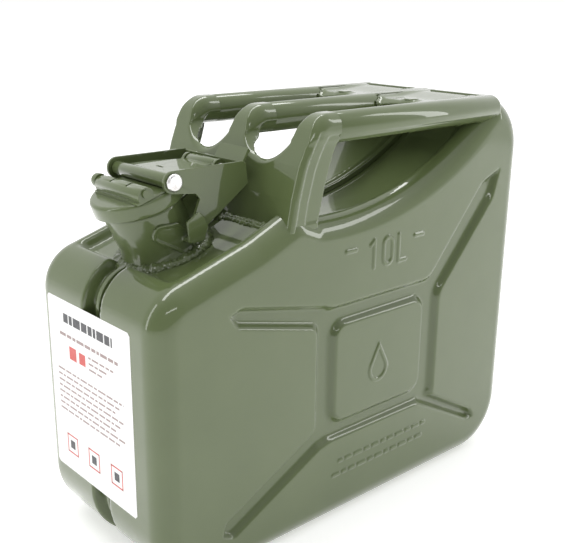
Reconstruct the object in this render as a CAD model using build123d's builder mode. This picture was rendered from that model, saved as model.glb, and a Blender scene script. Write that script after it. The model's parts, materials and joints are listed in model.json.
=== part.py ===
from build123d import *
import math
import os

# A 10 litre steel jerry can: two pressed half shells welded at a recessed seam, three
# handle tubes on a pressed bracket, and a slanted neck closed by a hinged cam-lever cap.
# Millimetres. +X is the rear, -X the spout end, +Z up. The origin is the bottom centre.

# ---- driving dimensions ----
LENGTH = 345.0  # X, front face to rear face
WIDTH = 145.0  # Y, over both pressed sides
HEIGHT = 293.0  # Z, floor to the top of the handle tubes
SHEET = 1.2  # body sheet
EDGE_R = 16.0  # rounding between the sides and the perimeter wall
BOTTOM_R = 44.0
REAR_TOP_R = 42.0
FRONT_TOP_R = 30.0
SHOULDER_X, SHOULDER_Z = -140.0, 207.0  # a point of the shoulder line
SHOULDER_SLOPE = 0.35  # rise per mm towards the rear
RIDGE_X = -62.0  # the shoulder ends in a ridge here
RIDGE_R, SADDLE_FRONT_R, HORN_R = 21.0, 12.0, 18.0  # roundings of the top line's bends
SADDLE_X, SADDLE_Z, SADDLE_R = -24.0, 225.5, 230.0  # lowest point and radius of the saddle

SEAM_HALF, SEAM_DEPTH = 9.5, 8.5  # recessed channel round the perimeter
STRIP_HALF, STRIP_T = 2.0, 4.0  # welded seam flange in the channel
TOP_RECESS, TOP_BEAD_Y = 6.5, 54.5  # the top wall lies this much below its edge beads
RECESS_X0, RECESS_X1, RECESS_Z = -145.0, 114.0, 180.0

PRESS_DEPTH = 3.5  # pressed channels of the sides
RING_R, ISLAND_R = 10.0, 9.0
RING_X0, RING_X1, RING_Z0, RING_Z1 = -46.0, 80.0, 65.0, 165.0
ISLAND_X0, ISLAND_X1, ISLAND_Z0, ISLAND_Z1 = -28.0, 62.0, 79.0, 150.0
# arms of the pressed channels: start, end (X, Z) and width
ARMS = [
    ((-42.0, 160.0), (-113.0, 177.0), 15.0),
    ((72.0, 157.0), (128.0, 219.0), 15.0),
    ((-40.0, 72.0), (-118.0, 33.5), 14.0),
    ((72.0, 68.0), (132.0, 33.0), 9.0),
]

TUBE_R, TUBE_WALL = 10.0, 1.5
TUBE_Y = WIDTH / 2 - TUBE_R - 0.5
TUBE_FRONT_X = -30.0  # the tubes start where the bracket's head ends
TUBE_END_X = 138.0
BRACKET_T = 1.6
BRACKET_HALF = WIDTH / 2 - 2.0
FINGER_Y, FINGER_R, FINGER_Z = 31.0, 18.5, 262.0  # cut-outs between the handle posts
FINGER_OPEN = 40.0  # the cut-outs are open upwards
BRIDGE_X0, BRIDGE_X1, BRIDGE_Z, BRIDGE_T = 70.0, 138.0, 288.0, 2.0
BUTTON_X, BUTTON_Y, BUTTON_R, BUTTON_H = 81.0, 34.0, 5.5, 1.5

CAP_TILT = 17.0  # the mouth leans forward by this angle
CAP_X, CAP_Z = -137.0, 248.5  # centre of the cap's top face
CAP_R, CAP_SKIRT, CAP_T = 29.5, 9.5, 1.2
MOUTH_DROP = 4.6  # mouth plane below the cap's top face
MOUTH_R, COLLAR_R = 22.0, 27.2
COLLAR_H = 6.0
NECK_RX, NECK_RY, NECK_WALL = 25.0, 26.0, 1.4
NECK_LEAN, NECK_LENGTH = 27.0, 46.0  # lean from the vertical, length below the collar
BREATHER_R, BREATHER_WALL, BREATHER_LENGTH = 3.0, 0.8, 60.0
HINGE_X, HINGE_Z = -84.0, 257.6  # axis of the cap hinge
PIN_R, PIN_FIT = 2.5, 0.15
LUG_Y0, LUG_Y1, LUG_R = 15.0, 17.5, 5.0
PIVOT_X, PIVOT_Z = -130.4, 255.6  # axis of the lever
LEVER_HALF, LEVER_T, LEVER_HEAD_R = 32.2, 2.0, 7.0
HEAD_R, HEAD_T, HEAD_GAP = 5.5, 2.2, 0.3
BARREL_R, BARREL_HALF = 4.6, 29.4
STRAP_Z, STRAP_T = 257.5, 1.8
SLEEVE_U, SLEEVE_W, SLEEVE_H = -9.6, 11.0, 7.0  # lock pin sleeve across the cap
LOCK_PIN_R, KNOB_R, KNOB_T = 2.4, 4.5, 6.0
LABEL_Y, LABEL_HALF, LABEL_Z0, LABEL_Z1, LABEL_T = 6.0, 50.0, 49.0, 173.5, 0.2

half_l, half_w = LENGTH / 2, WIDTH / 2


def shoulder_z(x):
    """Height of the shoulder line at x."""
    return SHOULDER_Z + SHOULDER_SLOPE * (x - SHOULDER_X)


def saddle_z(x):
    """Height of the saddle arc at x."""
    return SADDLE_Z + SADDLE_R - math.sqrt(SADDLE_R**2 - (x - SADDLE_X) ** 2)


def polar(radius, degrees):
    """The x, z offset of a point on a circle."""
    angle = math.radians(degrees)
    return radius * math.cos(angle), radius * math.sin(angle)


SADDLE_FRONT, SADDLE_REAR = -42.0, 139.0
saddle_mid = (SADDLE_FRONT + SADDLE_REAR) / 2
corner_x, corner_z = half_l - REAR_TOP_R, HEIGHT - REAR_TOP_R
horn_z = corner_z + math.sqrt(REAR_TOP_R**2 - (SADDLE_REAR - corner_x) ** 2)

OLIVE = (0.36, 0.42, 0.28)
STEEL = (0.75, 0.75, 0.77)
RUBBER = (0.08, 0.08, 0.08)
PAPER = (0.95, 0.95, 0.93)

os.makedirs("parts", exist_ok=True)


def finish(part, name, color=OLIVE):
    """Label a piece, colour it for plain views and write its file."""
    part.label = name
    part.color = Color(*color)
    export_step(part, f"parts/{name}.step")


# ---- body form ----
def outline(inset=0.0, y=0.0):
    """The can's side outline, on the plane at -y, with its faces moved inwards by inset."""
    arc_x, arc_z = polar(REAR_TOP_R, 50)
    with BuildSketch(Plane.XZ.offset(y)) as sketch:
        with BuildLine():
            Polyline(
                (SADDLE_FRONT, saddle_z(SADDLE_FRONT)),
                (RIDGE_X, shoulder_z(RIDGE_X)),
                (-half_l, shoulder_z(-half_l)),
                (-half_l, 0),
                (half_l, 0),
                (half_l, corner_z),
            )
            ThreePointArc(
                (half_l, corner_z), (corner_x + arc_x, corner_z + arc_z), (SADDLE_REAR, horn_z)
            )
            ThreePointArc(
                (SADDLE_REAR, horn_z),
                (saddle_mid, saddle_z(saddle_mid)),
                (SADDLE_FRONT, saddle_z(SADDLE_FRONT)),
            )
        make_face()

        def corner(x, z):
            return sketch.vertices().sort_by_distance((x, z, 0))[0]

        fillet([corner(-half_l, 0), corner(half_l, 0)], BOTTOM_R)
        fillet(corner(-half_l, shoulder_z(-half_l)), FRONT_TOP_R)
        fillet(corner(RIDGE_X, shoulder_z(RIDGE_X)), RIDGE_R)
        fillet(corner(SADDLE_FRONT, saddle_z(SADDLE_FRONT)), SADDLE_FRONT_R)
        fillet(corner(SADDLE_REAR, horn_z), HORN_R)
        if inset:
            offset(amount=-inset, mode=Mode.REPLACE)
    return sketch.sketch


def pressing(inset=0.0):
    """The pressed channels of a side: a ring round a raised island, and four arms."""
    with BuildSketch(Plane.XZ.offset(half_w - inset)) as sketch:
        with Locations(((RING_X0 + RING_X1) / 2, (RING_Z0 + RING_Z1) / 2)):
            RectangleRounded(
                RING_X1 - RING_X0 + 2 * inset, RING_Z1 - RING_Z0 + 2 * inset, RING_R
            )
        for (x0, z0), (x1, z1), width in ARMS:
            reach, turn = math.dist((x0, z0), (x1, z1)), math.degrees(math.atan2(z1 - z0, x1 - x0))
            with Locations(((x0 + x1) / 2, (z0 + z1) / 2)):
                SlotCenterToCenter(reach, width + 2 * inset, rotation=turn)
        with Locations(((ISLAND_X0 + ISLAND_X1) / 2, (ISLAND_Z0 + ISLAND_Z1) / 2)):
            RectangleRounded(
                ISLAND_X1 - ISLAND_X0 - 2 * inset,
                ISLAND_Z1 - ISLAND_Z0 - 2 * inset,
                ISLAND_R - inset,
                mode=Mode.SUBTRACT,
            )
    return sketch.sketch


def recess(inset=0.0, y=0.0):
    """The room over the recessed top wall, between its two ends."""
    with BuildSketch(Plane.XZ.offset(y)) as sketch:
        with Locations(((RECESS_X0 + RECESS_X1) / 2, (RECESS_Z + HEIGHT) / 2)):
            Rectangle(RECESS_X1 - RECESS_X0 + 2 * inset, HEIGHT - RECESS_Z)
    return sketch.sketch - outline(inset + TOP_RECESS, y)


def half_form(inset=0.0):
    """The near half of the can as a filled form, its faces moved inwards by inset."""
    bead_y = TOP_BEAD_Y + inset
    seam_y = SEAM_HALF + inset
    with BuildPart() as form:
        extrude(outline(inset, seam_y), amount=half_w - inset - seam_y)
        fillet(form.faces().sort_by(Axis.Y)[0].edges(), EDGE_R - inset)
        extrude(recess(inset, seam_y), amount=bead_y - seam_y, mode=Mode.SUBTRACT)
        extrude(outline(inset + SEAM_DEPTH), amount=seam_y)
        extrude(pressing(inset), amount=-PRESS_DEPTH, mode=Mode.SUBTRACT)
    return form.part


# ---- mouth frame: u rearwards in the mouth plane, Y across, w out of the mouth ----
tilt = math.radians(CAP_TILT)
mouth_normal = Vector(-math.sin(tilt), 0, math.cos(tilt))
mouth_along = Vector(math.cos(tilt), 0, math.sin(tilt))
mouth_origin = Vector(CAP_X, 0, CAP_Z) - mouth_normal * MOUTH_DROP
lean = math.radians(NECK_LEAN)
neck_down = Vector(math.sin(lean), 0, -math.cos(lean))


def mouth_plane(w=0.0):
    """The plane parallel to the mouth at height w above it."""
    return Plane(
        origin=mouth_origin + mouth_normal * w, x_dir=mouth_along, z_dir=mouth_normal
    )


def neck_column(rx, ry, length):
    """A slanted oval column below the mouth collar."""
    with BuildPart() as column:
        with BuildSketch(mouth_plane(-COLLAR_H)):
            Ellipse(rx, ry)
        extrude(amount=length, dir=neck_down)
    return column.part


neck_solid = neck_column(NECK_RX, NECK_RY, NECK_LENGTH)

near_form = half_form()
far_form = mirror(near_form, Plane.XZ)

# ---- body shells ----
with BuildPart() as shell_near:
    add(near_form)
    add(half_form(SHEET), mode=Mode.SUBTRACT)
    add(neck_solid, mode=Mode.SUBTRACT)
finish(shell_near.part, "shell_near")

with BuildPart() as shell_far:
    add(mirror(shell_near.part, Plane.XZ))
finish(shell_far.part, "shell_far")

with BuildPart() as seam_strip:
    extrude(outline(SEAM_DEPTH - STRIP_T, -STRIP_HALF), amount=2 * STRIP_HALF)
    extrude(outline(SEAM_DEPTH, -STRIP_HALF), amount=2 * STRIP_HALF, mode=Mode.SUBTRACT)
    add(neck_column(NECK_RX + 4.5, NECK_RY, NECK_LENGTH), mode=Mode.SUBTRACT)
finish(seam_strip.part, "seam_strip")

# ---- neck ----
with BuildPart() as neck:
    add(neck_solid)
    with BuildSketch(mouth_plane(-COLLAR_H)):
        Ellipse(NECK_RX - NECK_WALL, NECK_RY - NECK_WALL)
    extrude(amount=NECK_LENGTH + 1, dir=neck_down, mode=Mode.SUBTRACT)
finish(neck.part, "neck")

with BuildPart() as mouth_collar:
    with BuildSketch(mouth_plane(-COLLAR_H)):
        Circle(COLLAR_R)
        Circle(MOUTH_R, mode=Mode.SUBTRACT)
    extrude(amount=COLLAR_H)
    fillet(mouth_collar.edges().filter_by(GeomType.CIRCLE).group_by(Axis.Z)[-1], 1.2)
finish(mouth_collar.part, "mouth_collar")

shoulder_angle = math.atan(SHOULDER_SLOPE)
panel_dir = Vector(-math.sin(shoulder_angle), 0, math.cos(shoulder_angle))
WELD_X = -119.0
weld_z = shoulder_z(WELD_X) - TOP_RECESS / math.cos(shoulder_angle)
WELD_W, WELD_H, WELD_SINK = 4.0, 2.6, 6.0
weld_plane = Plane(
    origin=Vector(WELD_X, 0, weld_z) - panel_dir * WELD_SINK,
    x_dir=(math.cos(shoulder_angle), 0, math.sin(shoulder_angle)),
    z_dir=panel_dir,
)
with BuildPart() as neck_weld:
    with BuildSketch(weld_plane):
        Ellipse(NECK_RX + WELD_W + 1, NECK_RY + WELD_W)
    extrude(amount=WELD_SINK + WELD_H)
    add(near_form, mode=Mode.SUBTRACT)
    add(far_form, mode=Mode.SUBTRACT)
    add(neck_column(NECK_RX, NECK_RY, NECK_LENGTH + 8), mode=Mode.SUBTRACT)
    add(seam_strip.part, mode=Mode.SUBTRACT)
finish(neck_weld.part, "neck_weld")

BREATHER_U = NECK_RX - NECK_WALL - BREATHER_R - 0.1
with BuildPart() as breather_tube:
    with BuildSketch(mouth_plane(-COLLAR_H)):
        with Locations((BREATHER_U, 0)):
            Circle(BREATHER_R)
            Circle(BREATHER_R - BREATHER_WALL, mode=Mode.SUBTRACT)
    extrude(amount=BREATHER_LENGTH, dir=neck_down)
finish(breather_tube.part, "breather_tube", STEEL)

# ---- latches beside the neck, which the lever legs snap into ----
LATCH_Y0, LATCH_T, LATCH_TAB_Y = 26.2, 1.6, 33.9
PLATE_X, PLATE_Z, PLATE_L, PLATE_H = -133.0, 224.0, 15.0, 10.0  # rounded end of the base plate
WEB_LOW, WEB_HIGH = 217.0, 219.5
PLATE_TAIL = [(-124, 210), (-118, 207), (-110, 210)]  # the plate runs down to the neck's foot
WEB_X0, WEB_X1 = -122.0, -111.0
HOOK = [(-121.5, WEB_LOW), (-110, WEB_LOW), (-107.5, 226), (-111.5, 233.5), (-116, 236.5),
        (-124, 231)]
with BuildPart() as latch_near:
    with BuildSketch(Plane.XZ.offset(LATCH_Y0)):
        with Locations((PLATE_X, PLATE_Z)):
            SlotOverall(PLATE_L, PLATE_H)
        with BuildLine():
            Polyline(
                (PLATE_X, PLATE_Z - PLATE_H / 2),
                *PLATE_TAIL,
                (PLATE_TAIL[2][0], WEB_HIGH),
                (PLATE_TAIL[0][0], PLATE_Z + PLATE_H / 2),
                (PLATE_X, PLATE_Z + PLATE_H / 2),
                close=True,
            )
        make_face()
    extrude(amount=LATCH_T)
    with BuildSketch(Plane.XZ.offset(LATCH_Y0)):
        with BuildLine():
            Polyline((WEB_X0, WEB_LOW), (WEB_X1, WEB_LOW), (WEB_X1, WEB_HIGH),
                     (WEB_X0, WEB_HIGH), close=True)
        make_face()
    extrude(amount=LATCH_TAB_Y + LATCH_T - LATCH_Y0)
    with BuildSketch(Plane.XZ.offset(LATCH_TAB_Y)):
        with BuildLine():
            Polyline(*HOOK, close=True)
        make_face()
    extrude(amount=LATCH_T)
    for solid in (near_form, neck_solid, neck_weld.part):
        add(solid, mode=Mode.SUBTRACT)
finish(latch_near.part, "latch_near")

with BuildPart() as latch_far:
    add(mirror(latch_near.part, Plane.XZ))
finish(latch_far.part, "latch_far")

# ---- cap hinge: two lugs on a foot behind the neck ----
FOOT_X0, FOOT_X1, FOOT_Z, FOOT_T = -112.0, -101.0, 228.0, 2.0
ARM_X, ARM_Z, ARM_RISE = -110.0, 238.0, 5.5  # the lugs widen towards the neck
lug_turn = math.degrees(math.atan2(ARM_Z - HINGE_Z, ARM_X - HINGE_X))
up_x, up_z = polar(LUG_R - 0.5, lug_turn - 90)
down_x, down_z = polar(LUG_R - 0.5, lug_turn + 90)
with BuildPart() as hinge_bracket:
    for start in (-LUG_Y1, LUG_Y0):
        with BuildSketch(Plane.XZ.offset(start)):
            with BuildLine():
                Polyline(
                    (HINGE_X + up_x, HINGE_Z + up_z),
                    (ARM_X + 2, ARM_Z + ARM_RISE),
                    (ARM_X - 8, ARM_Z),
                    (ARM_X - 6, FOOT_Z - FOOT_T),
                    (FOOT_X1, FOOT_Z),
                    (FOOT_X1 + 4, ARM_Z + 4),
                    (HINGE_X + down_x, HINGE_Z + down_z),
                    close=True,
                )
            make_face()
            with Locations((HINGE_X, HINGE_Z)):
                Circle(LUG_R)
        extrude(amount=LUG_Y1 - LUG_Y0)
    with BuildSketch(Plane.XZ.offset(-LUG_Y0)):
        with Locations(((FOOT_X0 + FOOT_X1) / 2, FOOT_Z + FOOT_T / 2)):
            Rectangle(FOOT_X1 - FOOT_X0, FOOT_T)
    extrude(amount=2 * LUG_Y0)
    with BuildSketch(Plane.XZ.offset(-LUG_Y1)):
        with Locations((HINGE_X, HINGE_Z)):
            Circle(PIN_R)
    extrude(amount=2 * LUG_Y1, mode=Mode.SUBTRACT)
    add(neck_solid, mode=Mode.SUBTRACT)
finish(hinge_bracket.part, "hinge_bracket")

PIN_PROUD = 1.5
with BuildPart() as hinge_pin:
    with BuildSketch(Plane.XZ.offset(-LUG_Y1 - PIN_PROUD)):
        with Locations((HINGE_X, HINGE_Z)):
            Circle(PIN_R)
    extrude(amount=2 * (LUG_Y1 + PIN_PROUD))
    chamfer(hinge_pin.edges().filter_by(GeomType.CIRCLE), 0.5)
finish(hinge_pin.part, "hinge_pin", STEEL)

# ---- cap: cover, gasket, retainer and rivet ----
RIVET_R, RETAINER_R, RETAINER_T, GASKET_GAP = 2.0, 20.0, 1.2, 0.3
cover_w = MOUTH_DROP - CAP_T
with BuildPart() as cap_cover:
    with BuildSketch(mouth_plane(MOUTH_DROP - CAP_SKIRT)):
        Circle(CAP_R)
    extrude(amount=CAP_SKIRT)
    fillet(cap_cover.edges().filter_by(GeomType.CIRCLE).sort_by(Axis.Z)[-1], 2.4)
    with BuildSketch(mouth_plane(MOUTH_DROP - CAP_SKIRT)):
        Circle(CAP_R - CAP_T)
    extrude(amount=CAP_SKIRT - CAP_T, mode=Mode.SUBTRACT)
    with BuildSketch(mouth_plane(0)):
        Circle(RIVET_R)
    extrude(amount=CAP_SKIRT, mode=Mode.SUBTRACT)
finish(cap_cover.part, "cap_cover")

with BuildPart() as gasket:
    with BuildSketch(mouth_plane(GASKET_GAP)):
        Circle(CAP_R - CAP_T - 0.6)
        Circle(RETAINER_R - 2.2, mode=Mode.SUBTRACT)
    extrude(amount=cover_w - GASKET_GAP)
finish(gasket.part, "gasket", RUBBER)

with BuildPart() as gasket_retainer:
    with BuildSketch(mouth_plane(GASKET_GAP - RETAINER_T)):
        Circle(RETAINER_R)
    extrude(amount=RETAINER_T)
    with BuildSketch(mouth_plane(GASKET_GAP)):
        Circle(RETAINER_R - 2.4)
    extrude(amount=cover_w - GASKET_GAP)
    with BuildSketch(mouth_plane(GASKET_GAP - RETAINER_T)):
        Circle(RIVET_R)
    extrude(amount=CAP_SKIRT, mode=Mode.SUBTRACT)
finish(gasket_retainer.part, "gasket_retainer", STEEL)

with BuildPart() as cap_rivet:
    with BuildSketch(mouth_plane(GASKET_GAP - RETAINER_T)):
        Circle(RIVET_R)
    extrude(amount=MOUTH_DROP - GASKET_GAP + RETAINER_T)
    with BuildSketch(mouth_plane(GASKET_GAP - RETAINER_T)):
        Circle(2 * RIVET_R)
    extrude(amount=-1.4)
    fillet(cap_rivet.edges().filter_by(GeomType.CIRCLE).sort_by(Axis.Z)[0], 0.9)
finish(cap_rivet.part, "cap_rivet", STEEL)

# ---- cap strap: one sheet rolled into the lever barrel in front and a knuckle behind ----
STRAP_FRONT_HALF, STRAP_REAR_HALF, STRAP_MID_X = 21.0, 14.0, -108.0
SLOT_X, SLOT_LONG, SLOT_WIDE = -118.0, 7.0, 2.0
strap_start, strap_end = PIVOT_X + 2.0, HINGE_X
with BuildPart() as cap_strap:
    with BuildSketch(Plane.XZ.offset(-BARREL_HALF)):
        with Locations((PIVOT_X, PIVOT_Z)):
            Circle(BARREL_R)
    extrude(amount=2 * BARREL_HALF)
    with BuildSketch(Plane.XY.offset(STRAP_Z)):
        with BuildLine():
            Polyline(
                (strap_start, -STRAP_FRONT_HALF),
                (STRAP_MID_X, -STRAP_FRONT_HALF),
                (strap_end - 6, -STRAP_REAR_HALF),
                (strap_end, -STRAP_REAR_HALF),
                (strap_end, STRAP_REAR_HALF),
                (strap_end - 6, STRAP_REAR_HALF),
                (STRAP_MID_X, STRAP_FRONT_HALF),
                (strap_start, STRAP_FRONT_HALF),
                close=True,
            )
        make_face()
    extrude(amount=STRAP_T)
    with BuildSketch(Plane.XZ.offset(-STRAP_REAR_HALF)):
        with Locations((HINGE_X, HINGE_Z)):
            Circle(LUG_R - 0.4)
    extrude(amount=2 * STRAP_REAR_HALF)
    with BuildSketch(Plane.XZ.offset(-LEVER_HALF)):
        with Locations((HINGE_X, HINGE_Z), (PIVOT_X, PIVOT_Z)):
            Circle(PIN_R + PIN_FIT)
    extrude(amount=2 * LEVER_HALF, mode=Mode.SUBTRACT)
    with BuildSketch(Plane.XY.offset(STRAP_Z)):
        with Locations((SLOT_X, 0)):
            SlotOverall(SLOT_LONG, SLOT_WIDE, rotation=90)
    extrude(amount=STRAP_T, mode=Mode.SUBTRACT)
    add(cap_cover.part, mode=Mode.SUBTRACT)
finish(cap_strap.part, "cap_strap")

# ---- lock pin sleeve: a D-shaped tube across the front of the cap, on a base plate ----
PLATE_T, PLATE_U0, PLATE_U1 = 1.4, -16.5, 4.8
SLEEVE_Y0, SLEEVE_Y1, SLEEVE_CROWN = -28.0, 21.0, 4.6
BORE_W = MOUTH_DROP + PLATE_T + SLEEVE_H / 2
across = Plane(
    origin=mouth_origin + Vector(0, SLEEVE_Y1, 0), x_dir=mouth_along, z_dir=(0, -1, 0)
)
with BuildPart() as pin_sleeve:
    with BuildSketch(mouth_plane(MOUTH_DROP)):
        with Locations(((PLATE_U0 + PLATE_U1) / 2, (SLEEVE_Y0 + SLEEVE_Y1) / 2)):
            Rectangle(PLATE_U1 - PLATE_U0, SLEEVE_Y1 - SLEEVE_Y0)
    extrude(amount=PLATE_T)
    with BuildSketch(across) as sleeve_section:
        with Locations((SLEEVE_U, BORE_W)):
            Rectangle(SLEEVE_W, SLEEVE_H)
        fillet(sleeve_section.vertices().group_by(Axis.Y)[-1], SLEEVE_CROWN)
    extrude(amount=SLEEVE_Y1 - SLEEVE_Y0)
    with BuildSketch(across):
        with Locations((SLEEVE_U, BORE_W)):
            Circle(LOCK_PIN_R + PIN_FIT)
    extrude(amount=SLEEVE_Y1 - SLEEVE_Y0, mode=Mode.SUBTRACT)
    with BuildSketch(mouth_plane(MOUTH_DROP + PLATE_T + SLEEVE_H - 1.0)):
        with Locations((SLEEVE_U, -12), (SLEEVE_U, 6)):
            SlotOverall(5, 1.6)
    extrude(amount=1.5, mode=Mode.SUBTRACT)
finish(pin_sleeve.part, "pin_sleeve")

PIN_END, KNOB_GAP = 1.5, 1.2  # the pin stands proud of one end, its knob clear of the other
with BuildPart() as locking_pin:
    with BuildSketch(across.offset(-KNOB_GAP)):
        with Locations((SLEEVE_U, BORE_W)):
            Circle(LOCK_PIN_R)
    extrude(amount=KNOB_GAP + SLEEVE_Y1 - SLEEVE_Y0 + PIN_END)
    with BuildSketch(across.offset(-KNOB_GAP)):
        with Locations((SLEEVE_U, BORE_W)):
            Circle(KNOB_R)
    extrude(amount=-KNOB_T)
    fillet(locking_pin.edges().filter_by(GeomType.CIRCLE).sort_by(Axis.Y)[-1], 2.2)
finish(locking_pin.part, "locking_pin")

# ---- lever and its pin ----
with BuildPart() as lever_pin:
    with BuildSketch(Plane.XZ.offset(-LEVER_HALF - HEAD_GAP)):
        with Locations((PIVOT_X, PIVOT_Z)):
            Circle(PIN_R)
    extrude(amount=2 * (LEVER_HALF + HEAD_GAP))
    for side in (-LEVER_HALF - HEAD_GAP - HEAD_T, LEVER_HALF + HEAD_GAP):
        with BuildSketch(Plane.XZ.offset(side)):
            with Locations((PIVOT_X, PIVOT_Z)):
                Circle(HEAD_R)
        extrude(amount=HEAD_T)
    rims = lever_pin.edges().filter_by(GeomType.CIRCLE).sort_by(Axis.Y)
    fillet([rims[0], rims[-1]], 1.4)
finish(lever_pin.part, "lever_pin", STEEL)

LEVER_TOP, LEVER_REAR = PIVOT_Z + LEVER_HEAD_R, -73.0
REAR_X0, REAR_X1, REAR_Z = -76.6, -74.6, 256.2  # the rear web between the side plates
# the lower edge of a side plate, from the rear corner down to the leg and up to the notch
LEG = [(LEVER_REAR, 248.0), (-85.0, 239.5), (-105.0, 226.0), (-110.0, 224.8), (-117.0, 228.5),
       (-111.0, 243.0), (-114.0, 246.6)]
TAB_Y0, TAB_Y1, TAB_TIP_X, TAB_TIP_Z = -31.0, -2.0, -70.6, 269.6
with BuildPart() as lever:
    for side in (-LEVER_HALF, LEVER_HALF - LEVER_T):
        with BuildSketch(Plane.XZ.offset(side)):
            with BuildLine():
                Polyline(
                    (PIVOT_X, LEVER_TOP),
                    (REAR_X1 - 2, LEVER_TOP),
                    (REAR_X1, LEVER_TOP - 2),
                    *LEG,
                    (PIVOT_X, PIVOT_Z - LEVER_HEAD_R),
                    close=True,
                )
            make_face()
            with Locations((PIVOT_X, PIVOT_Z)):
                Circle(LEVER_HEAD_R)
                Circle(PIN_R + PIN_FIT, mode=Mode.SUBTRACT)
        extrude(amount=LEVER_T)
    with BuildSketch(Plane.XZ.offset(-LEVER_HALF)):
        with BuildLine():
            Polyline((REAR_X0, REAR_Z), (REAR_X1, REAR_Z), (REAR_X1, LEVER_TOP - 1),
                     (REAR_X0, LEVER_TOP - 1), close=True)
        make_face()
    extrude(amount=2 * LEVER_HALF)
    with BuildSketch(Plane.XZ.offset(-TAB_Y1)):
        with BuildLine():
            Polyline(
                (REAR_X0, LEVER_TOP - 1),
                (REAR_X1, LEVER_TOP - 1),
                (REAR_X1 + 0.4, LEVER_TOP),
                (TAB_TIP_X + 0.8, TAB_TIP_Z - 1.0),
                (TAB_TIP_X - 0.8, TAB_TIP_Z + 0.6),
                close=True,
            )
        make_face()
    extrude(amount=TAB_Y1 - TAB_Y0)
finish(lever.part, "lever")

# ---- handles ----
BRACKET_FEET, BRACKET_BEND = (-71.5, 221.0), (-67.6, 242.0)
BRACKET_KNEE, BRACKET_HEAD_X, BRACKET_HEAD_R = (-61.8, 262.0), -48.5, 16.0
FLANGE_FOOT_X, FLANGE_MID, FLANGE_TOP = -46.0, (-39.0, 250.0), (-30.5, 275.0)
with BuildPart() as handle_bracket:
    with BuildSketch(Plane.XZ.offset(-BRACKET_HALF)):
        with BuildLine() as bracket_line:
            Polyline(BRACKET_FEET, BRACKET_BEND, BRACKET_KNEE, (BRACKET_HEAD_X, HEIGHT),
                     (TUBE_FRONT_X, HEIGHT))
            fillet(bracket_line.vertices().sort_by_distance((BRACKET_HEAD_X, HEIGHT, 0))[0], BRACKET_HEAD_R)
            offset(amount=BRACKET_T, side=Side.RIGHT)
        make_face()
    extrude(amount=2 * BRACKET_HALF)
    for side in (-BRACKET_HALF, BRACKET_HALF - BRACKET_T):
        with BuildSketch(Plane.XZ.offset(side)) as flange:
            with BuildLine():
                Polyline(
                    BRACKET_FEET, BRACKET_BEND, BRACKET_KNEE, (BRACKET_HEAD_X, HEIGHT),
                    (TUBE_FRONT_X, HEIGHT), FLANGE_TOP, FLANGE_MID,
                    (FLANGE_FOOT_X, BRACKET_FEET[1]), close=True,
                )
            make_face()
            fillet(flange.vertices().sort_by_distance((BRACKET_HEAD_X, HEIGHT, 0))[0], BRACKET_HEAD_R)
        extrude(amount=BRACKET_T)
    with BuildSketch(Plane.YZ.offset(BRACKET_FEET[0] - 10)):
        for y in (-FINGER_Y, FINGER_Y):
            with Locations((y, FINGER_Z + FINGER_R)):
                Circle(FINGER_R)
            with Locations((y, FINGER_Z + FINGER_R + FINGER_OPEN / 2)):
                Rectangle(2 * FINGER_R, FINGER_OPEN)
    extrude(amount=60, mode=Mode.SUBTRACT)
    add(near_form, mode=Mode.SUBTRACT)
    add(far_form, mode=Mode.SUBTRACT)
    add(seam_strip.part, mode=Mode.SUBTRACT)
finish(handle_bracket.part, "handle_bracket")

tube_solids = []
for name, y in (("near", -TUBE_Y), ("middle", 0.0), ("far", TUBE_Y)):
    with BuildPart() as tube:
        with BuildSketch(Plane.YZ.offset(TUBE_FRONT_X)):
            with Locations((y, HEIGHT - TUBE_R)):
                Circle(TUBE_R)
        extrude(amount=TUBE_END_X - TUBE_FRONT_X)
        tube_solids.append(tube.part)
        with BuildSketch(Plane.YZ.offset(TUBE_FRONT_X)):
            with Locations((y, HEIGHT - TUBE_R)):
                Circle(TUBE_R - TUBE_WALL)
        extrude(amount=TUBE_END_X - TUBE_FRONT_X, mode=Mode.SUBTRACT)
        for solid in (near_form, far_form, seam_strip.part):
            add(solid, mode=Mode.SUBTRACT)
    finish(tube.part, f"handle_tube_{name}")

for name, sign in (("near", -1), ("far", 1)):
    with BuildPart() as bridge:
        with BuildSketch(Plane.XY.offset(BRIDGE_Z)):
            with Locations(((BRIDGE_X0 + BRIDGE_X1) / 2, sign * TUBE_Y / 2)):
                Rectangle(BRIDGE_X1 - BRIDGE_X0, TUBE_Y)
        extrude(amount=BRIDGE_T)
        for solid in tube_solids + [near_form, far_form, seam_strip.part]:
            add(solid, mode=Mode.SUBTRACT)
    finish(bridge.part, f"rear_bridge_{name}")

with BuildPart() as bridge_buttons:
    with BuildSketch(Plane.XY.offset(BRIDGE_Z + BRIDGE_T)):
        with Locations((BUTTON_X, -BUTTON_Y), (BUTTON_X, BUTTON_Y)):
            Circle(BUTTON_R)
    extrude(amount=BUTTON_H)
    fillet(bridge_buttons.faces().sort_by(Axis.Z)[-2:].edges(), 1.0)
finish(bridge_buttons.part, "bridge_buttons")

# ---- weld bead along the foot of the handle bracket ----
BEAD_R, BEAD_HALF = 1.8, 62.0
with BuildPart() as bracket_weld:
    with BuildSketch(Plane.XZ.offset(-BEAD_HALF)):
        with Locations((BRACKET_FEET[0] - 0.4, shoulder_z(BRACKET_FEET[0]) - TOP_RECESS)):
            Circle(BEAD_R)
    extrude(amount=2 * BEAD_HALF)
    for solid in (near_form, far_form, handle_bracket.part, seam_strip.part):
        add(solid, mode=Mode.SUBTRACT)
finish(bracket_weld.part, "bracket_weld")

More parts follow.
